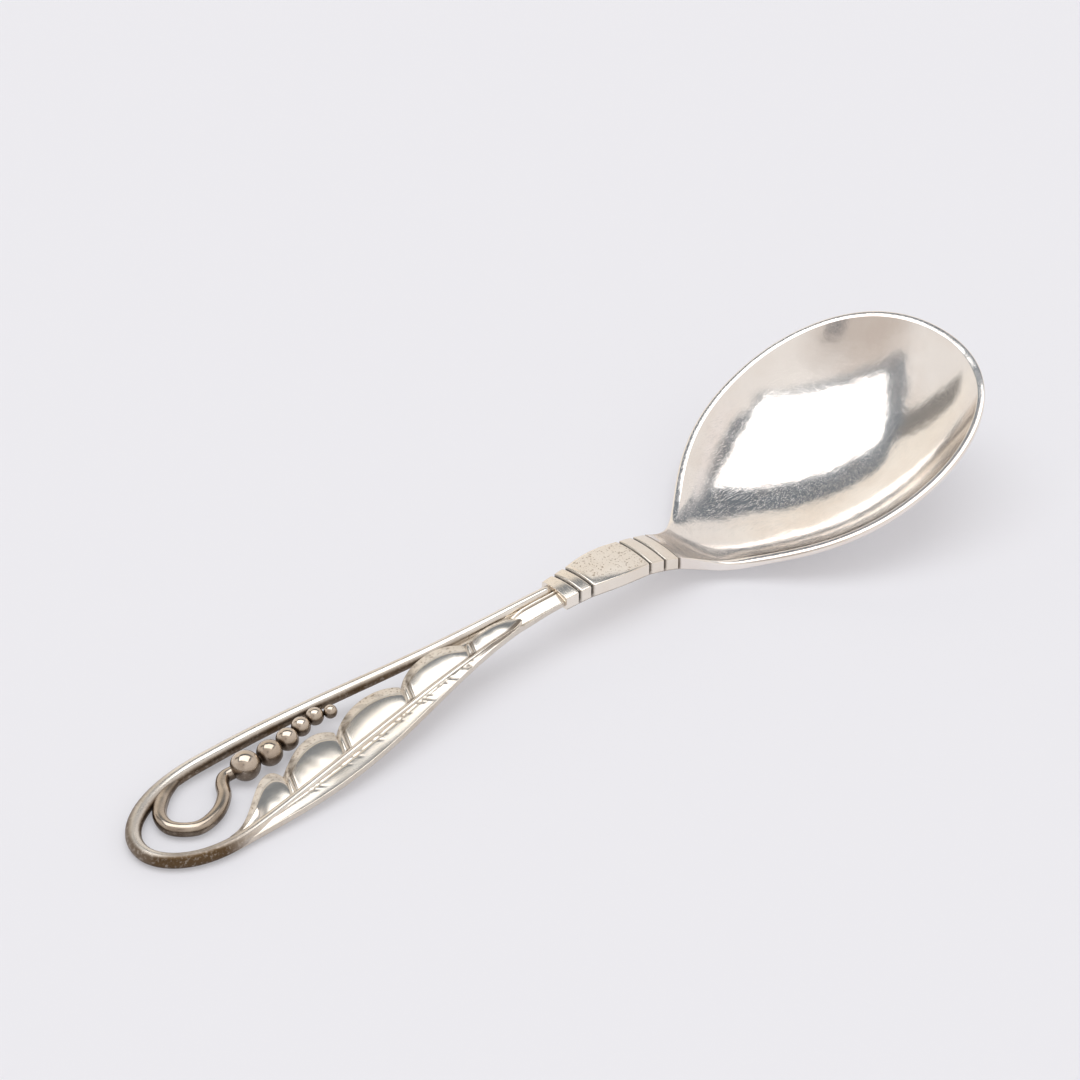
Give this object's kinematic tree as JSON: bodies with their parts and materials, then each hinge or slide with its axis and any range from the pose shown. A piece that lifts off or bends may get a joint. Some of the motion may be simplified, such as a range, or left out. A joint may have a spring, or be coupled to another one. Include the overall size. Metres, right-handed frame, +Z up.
{
  "type": "serving spoon",
  "caption": "Silver serving spoon with a deep oval bowl, a grooved collar and an openwork handle of bent wire, curled tendril, beads and a lobed leaf.",
  "frame": {"origin": "on the table plane, under the middle of the spoon's length and width", "axes": "+X from the handle's end to the bowl's tip, +Y to the side of the plain wire leg, +Z up, out of the bowl's hollow"},
  "size_m": [0.2045, 0.055, 0.0258],
  "materials": {
    "polished_silver": "polished silver with fine wear scratches",
    "filed_silver": "filed and lightly pitted silver, dark in the grooves",
    "wire_silver": "drawn silver wire, tarnished at the end loop",
    "tarnished_silver": "silver darkened by tarnish",
    "chased_silver": "chased silver with matt pitted borders"
  },
  "bodies": {
    "root": {"bowl": "polished_silver", "neck_collar": "filed_silver", "loop_wire": "wire_silver", "tendril": "tarnished_silver", "bead_1": "tarnished_silver", "bead_2": "tarnished_silver", "bead_3": "tarnished_silver", "bead_4": "tarnished_silver", "bead_5": "tarnished_silver", "bead_6": "tarnished_silver", "leaf_lobe_1": "chased_silver", "leaf_lobe_2": "chased_silver", "leaf_lobe_3": "chased_silver", "leaf_lobe_4": "chased_silver", "leaf_lobe_5": "chased_silver", "leaf_blade": "chased_silver"}
  },
  "joints": []
}
